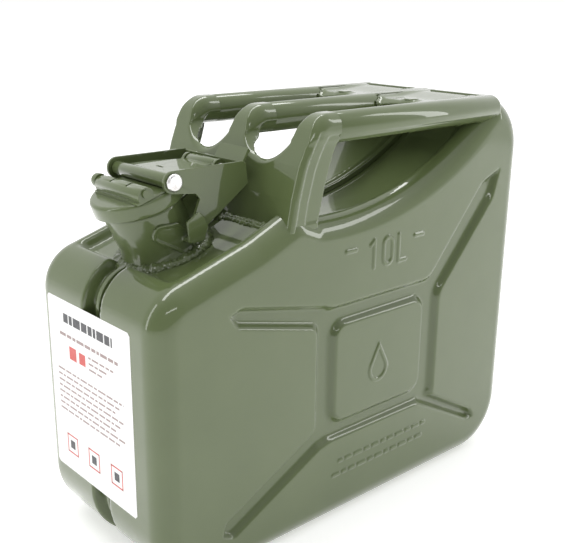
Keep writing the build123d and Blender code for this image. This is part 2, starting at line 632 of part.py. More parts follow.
# ---- data label on the front ----
with BuildPart() as data_label:
    with BuildSketch(Plane.YZ.offset(-half_l - LABEL_T)):
        with Locations((LABEL_Y, (LABEL_Z0 + LABEL_Z1) / 2)):
            RectangleRounded(2 * LABEL_HALF, LABEL_Z1 - LABEL_Z0, 1.5)
    extrude(amount=LABEL_T)
finish(data_label.part, "data_label", PAPER)
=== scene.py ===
import json
import math

import bmesh
import bpy
import numpy as np
from mathutils import Matrix, Vector, noise


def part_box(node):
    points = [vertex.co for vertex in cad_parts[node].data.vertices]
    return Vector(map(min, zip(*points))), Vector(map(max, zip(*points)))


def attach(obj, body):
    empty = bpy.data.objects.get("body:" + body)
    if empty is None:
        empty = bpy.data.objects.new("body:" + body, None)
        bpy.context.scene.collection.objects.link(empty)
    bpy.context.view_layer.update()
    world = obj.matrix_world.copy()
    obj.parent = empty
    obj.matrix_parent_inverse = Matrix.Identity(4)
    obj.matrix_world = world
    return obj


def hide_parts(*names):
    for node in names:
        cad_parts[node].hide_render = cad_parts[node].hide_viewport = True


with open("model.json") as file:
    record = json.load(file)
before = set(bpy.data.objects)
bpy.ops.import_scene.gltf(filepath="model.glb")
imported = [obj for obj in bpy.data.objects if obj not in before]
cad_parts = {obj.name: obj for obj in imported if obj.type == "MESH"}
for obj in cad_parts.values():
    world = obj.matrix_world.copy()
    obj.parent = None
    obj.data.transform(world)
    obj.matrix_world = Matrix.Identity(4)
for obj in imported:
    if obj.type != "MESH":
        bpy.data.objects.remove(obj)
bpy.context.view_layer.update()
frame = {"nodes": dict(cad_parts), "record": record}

MM = 0.001  # lengths below are in millimetres; Blender's are in metres


# ---------------------------------------------------------------- camera, floor and light
CAMERA_AT = (-427.9, -462.3, 363.2)
HEADING, PITCH, ROLL = -41.93, 17.36, -0.62  # degrees: from +Y towards +X is negative
LENS = 56.27
ROOM = ((0.25, 0.42), (0.62, 1.0))  # where the room is dark, and where it is white
ROOM_TOWARDS = (0.33, 0.36, 0.15)  # the white side; scaled so that the ramp spans 0 to 1
ROOM_STRENGTH = 1.02
FLOOR_HALF = 15000.0
FLOOR_GLOW = 0.42  # keeps the floor white to its edge
LIGHTS_AIM = (0, 0, 120)
LIGHTS = (  # name, place, size, watts
    ("top", (-50, 250, 1600), (1700, 260), 12),
    ("left", (-1500, 500, 800), (250, 1500), 5),
    ("right", (1200, -900, 900), (250, 1500), 6),
    ("front", (-700, -1300, 1100), (900, 120), 2),
)


def make_camera():
    """The photograph's viewpoint."""
    heading, pitch, roll = (math.radians(angle) for angle in (HEADING, PITCH, ROLL))
    right = Vector((math.cos(heading), math.sin(heading), 0))
    ahead = Vector((-math.sin(heading), math.cos(heading), 0))
    forward = ahead * math.cos(pitch) - Vector((0, 0, math.sin(pitch)))
    down = -(ahead * math.sin(pitch) + Vector((0, 0, math.cos(pitch))))
    across = right * math.cos(roll) + down * math.sin(roll)
    below = down * math.cos(roll) - right * math.sin(roll)
    camera = bpy.data.objects.new("camera", bpy.data.cameras.new("camera"))
    camera.data.lens = LENS
    camera.data.sensor_width = 36
    camera.data.clip_start, camera.data.clip_end = 0.01, 50
    turn = Matrix((across, -below, -forward)).transposed()
    camera.matrix_world = Matrix.Translation(Vector(CAMERA_AT) * MM) @ turn.to_4x4()
    bpy.context.scene.collection.objects.link(camera)
    bpy.context.scene.camera = camera


def area_light(name, at, size, power):
    """A soft rectangular light, in millimetres and watts."""
    light = bpy.data.lights.new(name, "AREA")
    light.shape = "RECTANGLE"
    light.size, light.size_y = size[0] * MM, size[1] * MM
    light.energy = power
    holder = bpy.data.objects.new(name, light)
    holder.location = Vector(at) * MM
    aim = (Vector(LIGHTS_AIM) - Vector(at)).normalized()
    holder.rotation_mode = "QUATERNION"
    holder.rotation_quaternion = aim.to_track_quat("-Z", "Y")
    bpy.context.scene.collection.objects.link(holder)


def make_studio():
    """A white floor and sweep beyond the can; what the can mirrors behind the camera is darker."""
    scene = bpy.context.scene
    scene.view_settings.view_transform = "Standard"
    world = bpy.data.worlds.new("studio")
    scene.world = world
    world.use_nodes = True
    tree = world.node_tree
    spot = tree.nodes.new("ShaderNodeTexCoord")
    facing = tree.nodes.new("ShaderNodeVectorMath")
    facing.operation = "DOT_PRODUCT"
    facing.inputs[1].default_value = ROOM_TOWARDS
    shift = tree.nodes.new("ShaderNodeMath")
    shift.operation = "ADD"
    shift.inputs[1].default_value = 0.5
    ramp = tree.nodes.new("ShaderNodeValToRGB")
    tree.links.new(spot.outputs["Generated"], facing.inputs[0])
    tree.links.new(facing.outputs["Value"], shift.inputs[0])
    tree.links.new(shift.outputs[0], ramp.inputs[0])
    for element, (position, value) in zip(ramp.color_ramp.elements, ROOM):
        element.position = position
        element.color = (value, value, value, 1)
    seen = tree.nodes.new("ShaderNodeMath")  # the room is white where it is seen directly
    seen.operation = "MAXIMUM"
    path = tree.nodes.new("ShaderNodeLightPath")
    tree.links.new(ramp.outputs[0], seen.inputs[0])
    tree.links.new(path.outputs["Is Camera Ray"], seen.inputs[1])
    tree.links.new(seen.outputs[0], tree.nodes["Background"].inputs["Color"])
    tree.nodes["Background"].inputs["Strength"].default_value = ROOM_STRENGTH

    mesh = bpy.data.meshes.new("floor")
    side = FLOOR_HALF * MM
    mesh.from_pydata(
        [(-side, -side, 0), (side, -side, 0), (side, side, 0), (-side, side, 0)],
        [],
        [(0, 1, 2, 3)],
    )
    floor = bpy.data.objects.new("floor", mesh)
    scene.collection.objects.link(floor)
    paint = bpy.data.materials.new("floor_white")
    paint.use_nodes = True
    shader = paint.node_tree.nodes["Principled BSDF"]
    shader.inputs["Base Color"].default_value = (0.94, 0.94, 0.94, 1)
    shader.inputs["Roughness"].default_value = 0.7
    shader.inputs["Specular IOR Level"].default_value = 0.1
    shader.inputs["Emission Color"].default_value = (1, 1, 1, 1)
    shader.inputs["Emission Strength"].default_value = FLOOR_GLOW
    mesh.materials.append(paint)

    for light in LIGHTS:
        area_light(*light)


# ---------------------------------------------------------------- materials
class Nodes:
    """A material's node tree, with short names for what is made often."""

    def __init__(self, name):
        self.material = bpy.data.materials.new(name)
        self.material.use_nodes = True
        self.tree = self.material.node_tree
        self.shader = self.tree.nodes["Principled BSDF"]
        self.place = self.tree.nodes.new("ShaderNodeTexCoord").outputs["Object"]

    def set(self, **values):
        """Set shader sockets: Base_Color=(r, g, b), Roughness=0.3."""
        for name, value in values.items():
            socket = self.shader.inputs[name.replace("_", " ")]
            socket.default_value = (*value, 1) if isinstance(value, tuple) else value

    def noise(self, scale, detail=2.0):
        """Fine noise over the object's own coordinates."""
        node = self.tree.nodes.new("ShaderNodeTexNoise")
        node.inputs["Scale"].default_value = scale
        node.inputs["Detail"].default_value = detail
        self.tree.links.new(self.place, node.inputs["Vector"])
        return node.outputs["Fac"]

    def ramp(self, source, stops):
        """Colours, or single values, between stops of (position, colour)."""
        node = self.tree.nodes.new("ShaderNodeValToRGB")
        elements = node.color_ramp.elements
        while len(elements) < len(stops):
            elements.new(0.5)
        for element, (position, color) in zip(elements, stops):
            element.position = position
            element.color = (*color, 1) if isinstance(color, tuple) else (color,) * 3 + (1,)
        self.tree.links.new(source, node.inputs["Fac"])
        return node.outputs["Color"]

    def bump(self, source, height, strength):
        """A bump of some millimetres from a noise."""
        node = self.tree.nodes.new("ShaderNodeBump")
        node.inputs["Distance"].default_value = height * MM
        node.inputs["Strength"].default_value = strength
        self.tree.links.new(source, node.inputs["Height"])
        return node.outputs["Normal"]

    def link(self, source, socket):
        self.tree.links.new(source, self.shader.inputs[socket])


def enamel():
    """Glossy olive enamel with faint orange peel and a trace of mottling."""
    nodes = Nodes("olive_enamel")
    nodes.set(Specular_IOR_Level=0.15, Coat_Weight=1.0, Coat_Roughness=0.03, Coat_IOR=1.5)
    mottle = nodes.ramp(
        nodes.noise(24.0, 3.0),
        [(0.3, (0.084, 0.112, 0.042)), (0.7, (0.092, 0.121, 0.047))],
    )
    nodes.link(mottle, "Base Color")
    nodes.link(nodes.ramp(nodes.noise(90.0, 3.0), [(0.3, 0.30), (0.75, 0.38)]), "Roughness")
    peel = nodes.bump(nodes.noise(520.0, 1.0), 0.02, 0.2)
    nodes.link(peel, "Normal")
    nodes.link(peel, "Coat Normal")
    return nodes.material


def zinc():
    """Bright zinc-plated steel with fine turning marks and dull patches."""
    nodes = Nodes("zinc_steel")
    nodes.set(Metallic=1.0, Base_Color=(0.74, 0.74, 0.76))
    nodes.link(nodes.ramp(nodes.noise(300.0, 3.0), [(0.3, 0.16), (0.7, 0.38)]), "Roughness")
    color = nodes.ramp(
        nodes.noise(160.0, 4.0), [(0.35, (0.62, 0.60, 0.58)), (0.7, (0.86, 0.86, 0.88))]
    )
    nodes.link(color, "Base Color")
    nodes.link(nodes.bump(nodes.noise(900.0, 2.0), 0.03, 0.5), "Normal")
    return nodes.material


def rubber():
    """Matt black rubber with a dusty bloom."""
    nodes = Nodes("black_rubber")
    color = nodes.ramp(
        nodes.noise(120.0, 4.0), [(0.3, (0.012, 0.012, 0.012)), (0.8, (0.035, 0.034, 0.032))]
    )
    nodes.link(color, "Base Color")
    nodes.link(nodes.ramp(nodes.noise(260.0, 2.0), [(0.3, 0.6), (0.7, 0.8)]), "Roughness")
    nodes.link(nodes.bump(nodes.noise(700.0, 2.0), 0.05, 0.5), "Normal")
    return nodes.material


def film():
    """White label film: smooth, with a faint grain and slight waviness."""
    nodes = Nodes("label_film")
    color = nodes.ramp(
        nodes.noise(60.0, 3.0), [(0.3, (0.80, 0.80, 0.79)), (0.7, (0.86, 0.86, 0.85))]
    )
    nodes.link(color, "Base Color")
    nodes.link(nodes.ramp(nodes.noise(200.0, 2.0), [(0.3, 0.28), (0.7, 0.4)]), "Roughness")
    nodes.link(nodes.bump(nodes.noise(18.0, 1.0), 0.2, 0.4), "Normal")
    return nodes.material


def ink(name, color):
    """Printing ink with slightly uneven cover."""
    nodes = Nodes(name)
    pale = tuple(min(1.0, c + 0.05) for c in color)
    nodes.link(nodes.ramp(nodes.noise(500.0, 3.0), [(0.35, color), (0.8, pale)]), "Base Color")
    nodes.set(Roughness=0.4)
    return nodes.material


# ---------------------------------------------------------------- shaping tools
def smooth(t):
    """0 below 0, 1 above 1, an S curve between."""
    t = np.clip(t, 0.0, 1.0)
    return t * t * (3 - 2 * t)


def soft_min(a, b, radius):
    """The lower of two fields, with a fillet of about radius where they meet."""
    h = np.maximum(radius - np.abs(a - b), 0.0) / radius
    return np.minimum(a, b) - h * h * radius / 4


def rounded_corner(a, b, radius):
    """The inside of both a and b, with their common edge rounded."""
    a, b = a + radius, b + radius
    return np.hypot(np.maximum(a, 0), np.maximum(b, 0)) + np.minimum(np.maximum(a, b), 0) - radius


def to_segment(x, z, start, end):
    """Distance to a segment, and how far along it (0 to 1) the nearest point is."""
    run = np.array(end, float) - np.array(start, float)
    along = ((x - start[0]) * run[0] + (z - start[1]) * run[1]) / (run @ run)
    along = np.clip(along, 0.0, 1.0)
    return np.hypot(x - start[0] - along * run[0], z - start[1] - along * run[1]), along


def rounded_box(x, z, low, high, radius):
    """Signed distance to a rectangle with rounded corners."""
    a = np.abs(x - (low[0] + high[0]) / 2) - (high[0] - low[0]) / 2
    b = np.abs(z - (low[1] + high[1]) / 2) - (high[1] - low[1]) / 2
    return rounded_corner(a, b, radius)


def arc_points(centre, radius, start, end, gap=2.0):
    """Points along a circular arc; angles in degrees."""
    count = max(2, int(abs(math.radians(end - start)) * radius / gap) + 1)
    turns = np.radians(np.linspace(start, end, count))
    return [
        (centre[0] + radius * math.cos(turn), centre[1] + radius * math.sin(turn)) for turn in turns
    ]


def rounded_path(corners):
    """A closed line through (x, z, radius) corners, each rounded by its radius."""
    points = []
    for index, (x, z, radius) in enumerate(corners):
        if not radius:
            points.append((x, z))
            continue
        here = np.array((x, z), float)
        before = np.array(corners[index - 1][:2], float) - here
        after = np.array(corners[(index + 1) % len(corners)][:2], float) - here
        before, after = before / np.linalg.norm(before), after / np.linalg.norm(after)
        half = math.acos(np.clip(before @ after, -1, 1)) / 2
        reach = radius / math.tan(half)
        middle = here + (before + after) / np.linalg.norm(before + after) * radius / math.sin(half)
        first, last = here + before * reach - middle, here + after * reach - middle
        start, end = (math.degrees(math.atan2(v[1], v[0])) for v in (first, last))
        end = start + (end - start + 180) % 360 - 180
        points += arc_points(middle, radius, start, end)
    return points


class Outline:
    """Signed distance to a closed line, kept on a grid and read back by interpolation."""

    def __init__(self, points, gap=1.0, margin=12.0):
        points = np.array(points, float)
        self.gap = gap
        self.low = points.min(0) - margin
        count = ((points.max(0) + margin - self.low) / gap).astype(int) + 2
        x = self.low[0] + gap * np.arange(count[0])[:, None]
        z = self.low[1] + gap * np.arange(count[1])[None, :]
        nearest = np.full(count, 1e9)
        inside = np.zeros(count, bool)
        for (x0, z0), (x1, z1) in zip(points, np.roll(points, -1, axis=0)):
            if math.dist((x0, z0), (x1, z1)) < 1e-6:
                continue
            nearest = np.minimum(nearest, to_segment(x, z, (x0, z0), (x1, z1))[0])
            if z0 != z1:
                crossing = x0 + (z - z0) * (x1 - x0) / (z1 - z0)
                inside ^= ((z0 > z) != (z1 > z)) & (x < crossing)
        self.grid = np.where(inside, -nearest, nearest)

    def __call__(self, x, z):
        u = np.clip((x - self.low[0]) / self.gap, 0, self.grid.shape[0] - 1.001)
        v = np.clip((z - self.low[1]) / self.gap, 0, self.grid.shape[1] - 1.001)
        i, j = u.astype(int), v.astype(int)
        u, v = u - i, v - j
        g = self.grid
        low = g[i, j] * (1 - u) + g[i + 1, j] * u
        high = g[i, j + 1] * (1 - u) + g[i + 1, j + 1] * u
        return low * (1 - v) + high * v


def slope(field, points, step=0.05):
    """A field's value and gradient at points."""
    value = field(*points.T)
    gradient = np.empty_like(points)
    for axis in range(3):
        moved = points.copy()
        moved[:, axis] += step
        gradient[:, axis] = (field(*moved.T) - value) / step
    return value, gradient


SKIN_PASSES = 3  # how often the points are moved onto the surface


def skin(field, low, high, gap, hold=None):
    """Quads over the surface where field is 0 (negative inside), as points and faces.

    The surface may run out of the box, and is left open there. hold, if given, is an
    axis whose last layer of points is put on the box's high side.
    """
    axes = []
    for start, end in zip(low, high):
        count = int(math.ceil((end - start) / gap)) + 1
        axes.append(end - gap * np.arange(count)[::-1])
    grid = np.meshgrid(*axes, indexing="ij")
    value = field(*grid)
    inside = value < 0
    shape = np.array(value.shape) - 1
    corners = [(i, j, k) for i in (0, 1) for j in (0, 1) for k in (0, 1)]

    def shifted(array, corner):
        return array[tuple(slice(c, c + n) for c, n in zip(corner, shape))]

    count = sum(shifted(inside, corner).astype(np.int8) for corner in corners)
    cells = np.argwhere((count > 0) & (count < 8))
    total = np.zeros((len(cells), 3))
    crossings = np.zeros(len(cells))
    for corner in corners:
        for axis in range(3):
            if corner[axis]:
                continue
            other = tuple(c + (n == axis) for n, c in enumerate(corner))
            a = value[tuple((cells + corner).T)]
            b = value[tuple((cells + other).T)]
            crossed = (a < 0) != (b < 0)
            share = np.where(crossed, a / np.where(crossed, a - b, 1.0), 0.0)
            spot = np.tile(np.array(corner, float), (len(cells), 1))
            spot[:, axis] += share
            total += np.where(crossed[:, None], spot, 0.0)
            crossings += crossed
    start = np.array([axis[0] for axis in axes])
    points = start + gap * (cells + total / crossings[:, None])
    number = np.full(shape, -1)
    number[tuple(cells.T)] = np.arange(len(cells))

    faces = []
    for axis in range(3):
        second, third = (axis + 1) % 3, (axis + 2) % 3
        near = [slice(1, n) for n in shape]
        far = list(near)
        near[axis], far[axis] = slice(0, shape[axis]), slice(1, shape[axis] + 1)
        near, far = tuple(near), tuple(far)
        changed = np.argwhere(inside[near] != inside[far])
        changed += [int(n != axis) for n in range(3)]
        outwards = inside[tuple(changed.T)]
        ring = []
        for step_second, step_third in ((1, 1), (0, 1), (0, 0), (1, 0)):
            cell = changed.copy()
            cell[:, second] -= step_second
            cell[:, third] -= step_third
            ring.append(number[tuple(cell.T)])
        quads = np.stack(ring, axis=1)
        quads[~outwards] = quads[~outwards][:, ::-1]
        faces.append(quads)
    faces = np.concatenate(faces)

    held = None
    if hold is not None:
        held = points[:, hold] > high[hold] - gap
        points[held, hold] = high[hold]
    for _ in range(SKIN_PASSES):
        value, gradient = slope(field, points)
        if held is not None:
            gradient[held, hold] = 0.0
        size = np.maximum((gradient**2).sum(1), 0.05)
        move = -(value / size)[:, None] * gradient
        length = np.maximum(np.linalg.norm(move, axis=1), 1e-9)
        points += move * np.minimum(1.0, 0.5 * gap / length)[:, None]
    return points, faces


def make_piece(name, points, faces, material, body, smooth_shade=True):
    """A mesh piece from points in millimetres, riding on a body."""
    mesh = bpy.data.meshes.new(name)
    points = np.asarray(points, float) * MM
    mesh.from_pydata(points.tolist(), [], [list(map(int, face)) for face in faces])
    mesh.polygons.foreach_set("use_smooth", [smooth_shade] * len(mesh.polygons))
    mesh.materials.append(material)
    mesh.update()
    piece = bpy.data.objects.new(name, mesh)
    bpy.context.scene.collection.objects.link(piece)
    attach(piece, body)
    return piece


# ---------------------------------------------------------------- measures from the frame
def node_box(name):
    """A CAD node's corners in millimetres."""
    low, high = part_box(name)
    return low / MM, high / MM


mouth = next(m for m in frame["record"]["mounts"] if m["name"] == "mouth")
MOUTH_AT = Vector(mouth["pos_m"]) / MM
MOUTH_UP = Vector(mouth["axis"]).normalized()
MOUTH_ALONG = Vector((MOUTH_UP.z, 0, -MOUTH_UP.x))
COLLAR_H = mouth["dims"]["length_mm"]

shell_low, shell_high = node_box("shell_near")
HALF_L = shell_high.x
HALF_W = -shell_low.y
TUBE_TOP = node_box("handle_tube_middle")[1].z
SHEET = 1.2
SKINS = ((0.0, 1.7, 0.97), (SHEET + 1.3, 4.0, 0.95))  # inset, mesh gap, neck hole's share
EDGE_R = 16.0
REAR_TOP_R, BOTTOM_R, FRONT_TOP_R = 42.0, 44.0, 30.0
SHOULDER_AT, SHOULDER_SLOPE = (-140.0, 207.0), 0.35
RIDGE_X = -62.0
SAG_X, SAG = -96.0, 3.0  # the shoulder sags a little between the ridge and the front
SADDLE_LOW, SADDLE_R = (-24.0, 225.5), 230.0
SADDLE_FRONT, SADDLE_REAR = -42.0, 139.0
SEAM_DEPTH, SEAM_EDGE, SEAM_FLANK = 8.5, 7.5, 3.5
TOP_RECESS, RECESS_EDGE, RECESS_FLANK = 6.5, 48.0, 9.0
# where the top's recess fades in and how fast: from below, from the front, towards the rear
RECESS_LOW, RECESS_FRONT, RECESS_REAR = (150.0, 30.0), (-152.0, 10.0), (122.0, 16.0)
PRESS_DEPTH, PRESS_FLANK = 4.6, 5.0
MARK_AT = (20.0, 195.0)
STROKE_HALF, STROKE_H = 1.1, 0.9
DROP_AT, DROP_R, DROP_TIP = (15.0, 108.0), 8.5, 126.0
DASH_ROWS = ((47.0, -22.0), (37.0, -28.0))  # height and start of each dashed row
RING = ((-46.0, 65.0), (80.0, 165.0), 10.0)
ISLAND = ((-28.0, 79.0), (62.0, 150.0), 9.0)
# pressed arms: start, end, half width at each, where the end starts to fade (0 to 1)
ARMS = [
    ((-42.0, 160.0), (-122.0, 178.5), 8.0, 6.5, 0.84),
    ((72.0, 156.0), (150.0, 243.0), 9.0, 10.0, 0.72),
    ((-40.0, 72.0), (-128.0, 28.0), 7.5, 7.5, 0.9),
    ((70.0, 67.0), (138.0, 30.0), 5.0, 4.5, 0.85),
]


def shoulder_z(x):
    """Height of the slanted shoulder in front of the handles."""
    return SHOULDER_AT[1] + SHOULDER_SLOPE * (x - SHOULDER_AT[0])


def saddle_z(x):
    """Height of the hollow under the handles."""
    return SADDLE_LOW[1] + SADDLE_R - math.sqrt(SADDLE_R**2 - (x - SADDLE_LOW[0]) ** 2)


def can_outline():
    """The can's outline seen from the side."""
    corner_x, corner_z = HALF_L - REAR_TOP_R, TUBE_TOP - REAR_TOP_R
    horn = math.degrees(math.acos((SADDLE_REAR - 11 - corner_x) / REAR_TOP_R))
    corners = [(-HALF_L, 0, BOTTOM_R), (HALF_L, 0, BOTTOM_R)]
    corners += [(x, z, 0) for x, z in arc_points((corner_x, corner_z), REAR_TOP_R, 0, horn)]
    for index in range(90):
        x = SADDLE_REAR - 6 - 2 * index
        if x < SADDLE_FRONT:
            break
        corners.append((x, saddle_z(x), 0))
    corners.append((RIDGE_X, shoulder_z(RIDGE_X), 21.0))
    corners.append((SAG_X, shoulder_z(SAG_X) - SAG, 45.0))
    corners.append((-HALF_L, shoulder_z(-HALF_L) + 0.5, FRONT_TOP_R))
    return rounded_path(corners)


outline = Outline(can_outline())


def pressing(x, z):
    """How deep the side is pressed in."""
    low, high, radius = RING
    channel = rounded_box(x, z, low, high, radius)
    low, high, radius = ISLAND
    channel = np.maximum(channel, -rounded_box(x, z, low, high, radius))
    for start, end, wide_start, wide_end, fade in ARMS:
        away, along = to_segment(x, z, start, end)
        half = wide_start + (wide_end - wide_start) * along
        arm = away - half + 1.1 * half * smooth((along - fade) / (1 - fade))
        channel = soft_min(channel, arm, 5.0)
    return PRESS_DEPTH * smooth((1.0 - channel) / PRESS_FLANK)


def can_field(x, y, z):
    """The can as one filled form: negative inside."""
    wide = np.abs(y)
    top = smooth((z - RECESS_LOW[0]) / RECESS_LOW[1])
    top = top * smooth((x - RECESS_FRONT[0]) / RECESS_FRONT[1])
    top = top * smooth((RECESS_REAR[0] - x) / RECESS_REAR[1])
    recess = TOP_RECESS * top * smooth((RECESS_EDGE + RECESS_FLANK - wide) / RECESS_FLANK)
    seam = SEAM_DEPTH * smooth((SEAM_EDGE + SEAM_FLANK - wide) / SEAM_FLANK)
    wall = outline(x, z) + np.maximum(recess, seam)
    side = wide - (HALF_W - STROKE_H) + pressing(x, z)
    return rounded_corner(wall, side, EDGE_R)


# ---------------------------------------------------------------- body
NECK_RX, NECK_RY, NECK_WALL = 25.0, 26.0, 1.4
FLARE, FLARE_FROM = 3.0, 0.72  # the neck's foot widens from this share of its height down
NECK_LEAN = math.radians(27.0)
NECK_DOWN = Vector((math.sin(NECK_LEAN), 0, -math.cos(NECK_LEAN)))
NECK_TOP = MOUTH_AT - MOUTH_UP * COLLAR_H


def neck_radius(points):
    """Where points lie in the neck's oval: below 1 is inside."""
    offset = points - np.array(NECK_TOP)
    along = offset @ np.array(MOUTH_UP) / NECK_DOWN.dot(MOUTH_UP)
    offset = offset - along[:, None] * np.array(NECK_DOWN)
    u = offset @ np.array(MOUTH_ALONG)
    return np.hypot(u / NECK_RX, offset[:, 1] / NECK_RY)


def text_strokes():
    """The raised mark, as strokes about its middle: a dash, 1, 0, L and a dash."""
    oval = rounded_path([(-4.5, -9.5, 4.4), (4.5, -9.5, 4.4), (4.5, 9.5, 4.4), (-4.5, 9.5, 4.4)])
    zero = [((x0, z0), (x1, z1)) for (x0, z0), (x1, z1) in zip(oval, oval[1:] + oval[:1])]
    strokes = [((-41, 6), (-32, 6)), ((-14, 9.5), (-14, -9.5)), ((-14, 9.5), (-17.5, 6.5))]
    strokes += zero
    strokes += [((11, 9.5), (11, -9.5)), ((11, -9.5), (19, -9.5)), ((28, 6), (37, 6))]
    return [
        ((MARK_AT[0] + x0, MARK_AT[1] + z0), (MARK_AT[0] + x1, MARK_AT[1] + z1))
        for (x0, z0), (x1, z1) in strokes
    ]


def emblem_strokes():
    """Plain raised marks: a drop on the island and two dashed rows below."""
    drop = [(DROP_AT[0], DROP_TIP)]
    drop += arc_points(DROP_AT, DROP_R, 150, 390, 2.5)
    strokes = list(zip(drop, drop[1:] + drop[:1]))
    for row, (z, start) in enumerate(DASH_ROWS):
        x = start
        for index in range(11):
            length = 3.0 + 4.0 * ((index * 7 + row * 3) % 5) / 4
            strokes.append(((x, z), (x + length, z)))
            x += length + 4.0
    return strokes


def face_x(x, side):
    """x as it reads on a side's face: the far side reads the other way round."""
    return x if side < 0 else 2 * MARK_AT[0] - x


def raise_marks(points, side):
    """Raise the strokes on one side, -1 near or 1 far."""
    faced = np.abs(points[:, 1]) > HALF_W - STROKE_H - 0.2
    x, z = face_x(points[faced, 0], side), points[faced, 2]
    away = np.full(len(x), 1e9)
    for start, end in text_strokes() + emblem_strokes():
        away = np.minimum(away, to_segment(x, z, start, end)[0])
    points[faced, 1] += side * STROKE_H * smooth(STROKE_HALF + 0.8 - away)
    points[:, 1] = np.clip(points[:, 1], -HALF_W, HALF_W)
    return points


def make_shells(paint):
    """Both half shells: a finely pressed outer skin, and the sheet's plain inner skin."""
    skins = []
    for inset, gap, wide in SKINS:
        low = (-HALF_L - gap, -HALF_W - gap, -gap)
        high = (HALF_L + gap, 0.0, TUBE_TOP + gap)

        def field(x, y, z):
            return can_field(x, y, z) + inset

        points, faces = skin(field, low, high, gap, hold=1)
        centres = points[faces].mean(1)
        neck_hole = (neck_radius(centres) < wide) & (centres[:, 2] > 175)
        skins.append((points, faces[~neck_hole]))
    (outer, outer_faces), (inner, inner_faces) = skins
    points = np.concatenate((outer, inner))
    faces = np.concatenate((outer_faces, inner_faces[:, ::-1] + len(outer)))
    for name, side in (("shell_near", -1), ("shell_far", 1)):
        mirrored = points * (1, -side, 1)
        turned = faces if side < 0 else faces[:, ::-1]
        shell = make_piece(name + "_pressed", mirrored, turned, paint, "can")
        refine_marks(shell, side)
        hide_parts(name)


def refine_marks(shell, side):
    """Split the faces round the raised marks finely, then raise them."""
    net = bmesh.new()
    net.from_mesh(shell.data)
    loose = [v for v in net.verts if not v.link_faces]
    bmesh.ops.delete(net, geom=loose, context="VERTS")

    def marked(face):
        x, y, z = face.calc_center_median() / MM
        if abs(y) < HALF_W - STROKE_H - 0.2:
            return False
        x = face_x(x, side)
        capacity = abs(x - MARK_AT[0]) < 44 and abs(z - MARK_AT[1]) < 12
        drop = abs(x - DROP_AT[0]) < DROP_R + 2.5 and DROP_AT[1] - 11 < z < DROP_TIP + 2
        rows = -31 < x < 84 and any(abs(z - row_z) < 3 for row_z, _ in DASH_ROWS)
        return capacity or drop or rows

    chosen = {edge for face in net.faces if marked(face) for edge in face.edges}
    bmesh.ops.subdivide_edges(net, edges=list(chosen), cuts=2, use_grid_fill=True)
    net.to_mesh(shell.data)
    net.free()
    count = len(shell.data.vertices)
    flat = np.empty(count * 3, np.float32)
    shell.data.vertices.foreach_get("co", flat)
    points = raise_marks(flat.reshape(-1, 3).astype(float) / MM, side)
    shell.data.vertices.foreach_set("co", (points * MM).astype(np.float32).ravel())
    shell.data.polygons.foreach_set("use_smooth", [True] * len(shell.data.polygons))
    shell.data.update()


# ---------------------------------------------------------------- neck and welds
PANEL_UP = Vector((-SHOULDER_SLOPE, 0, 1)).normalized()
PANEL_AT = Vector((-119.0, 0, shoulder_z(-119.0))) - PANEL_UP * TOP_RECESS


def neck_wall_point(turn, inset=0.0):
    """The neck wall's top point at an angle, and how far below it the shoulder panel is."""
    top = (
        NECK_TOP
        + MOUTH_ALONG * (NECK_RX - inset) * math.cos(turn)
        + Vector((0, (NECK_RY - inset) * math.sin(turn), 0))
    )
    depth = (PANEL_AT - top).dot(PANEL_UP) / NECK_DOWN.dot(PANEL_UP)
    return top, depth


def make_neck(paint):
    """The oval neck, flared where it meets the panel, with its bore."""
    around, rings = 96, 14
    points, faces = [], []
    for ring in range(rings + 1):
        share = ring / rings
        flare = FLARE * max(0.0, (share - FLARE_FROM) / (1 - FLARE_FROM)) ** 2
        for index in range(around):
            top, depth = neck_wall_point(2 * math.pi * index / around)
            outward = (top - NECK_TOP).normalized()
            points.append(top + NECK_DOWN * depth * share + outward * flare)
    for ring in range(rings + 1):
        share = 1 - ring / rings
        for index in range(around):
            top, depth = neck_wall_point(2 * math.pi * index / around, NECK_WALL)
            points.append(top + NECK_DOWN * (depth + 3.0) * share)
    total = 2 * (rings + 1)
    for ring in range(total):
        for index in range(around):
            a, b = ring * around, (ring + 1) % total * around
            following = (index + 1) % around
            faces.append((a + index, a + following, b + following, b + index))
    piece = make_piece("neck_flared", points, faces, paint, "can")
    recalculate(piece)
    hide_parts("neck")


def recalculate(piece):
    """Turn a closed piece's faces outwards."""
    net = bmesh.new()
    net.from_mesh(piece.data)
    bmesh.ops.recalc_face_normals(net, faces=net.faces)
    net.to_mesh(piece.data)
    net.free()


RIPPLE = 3.4  # spacing of a weld's ripples
# each bead: how far out it lies, its radius and the seed of its unevenness
NECK_BEADS = ((1.2, 3.2, 3.0), (4.4, 2.3, 11.0))
FOOT_BEADS = ((0.4, 1.5, 8.0), (2.6, 1.2, 21.0))
FOOT_HALF = 52


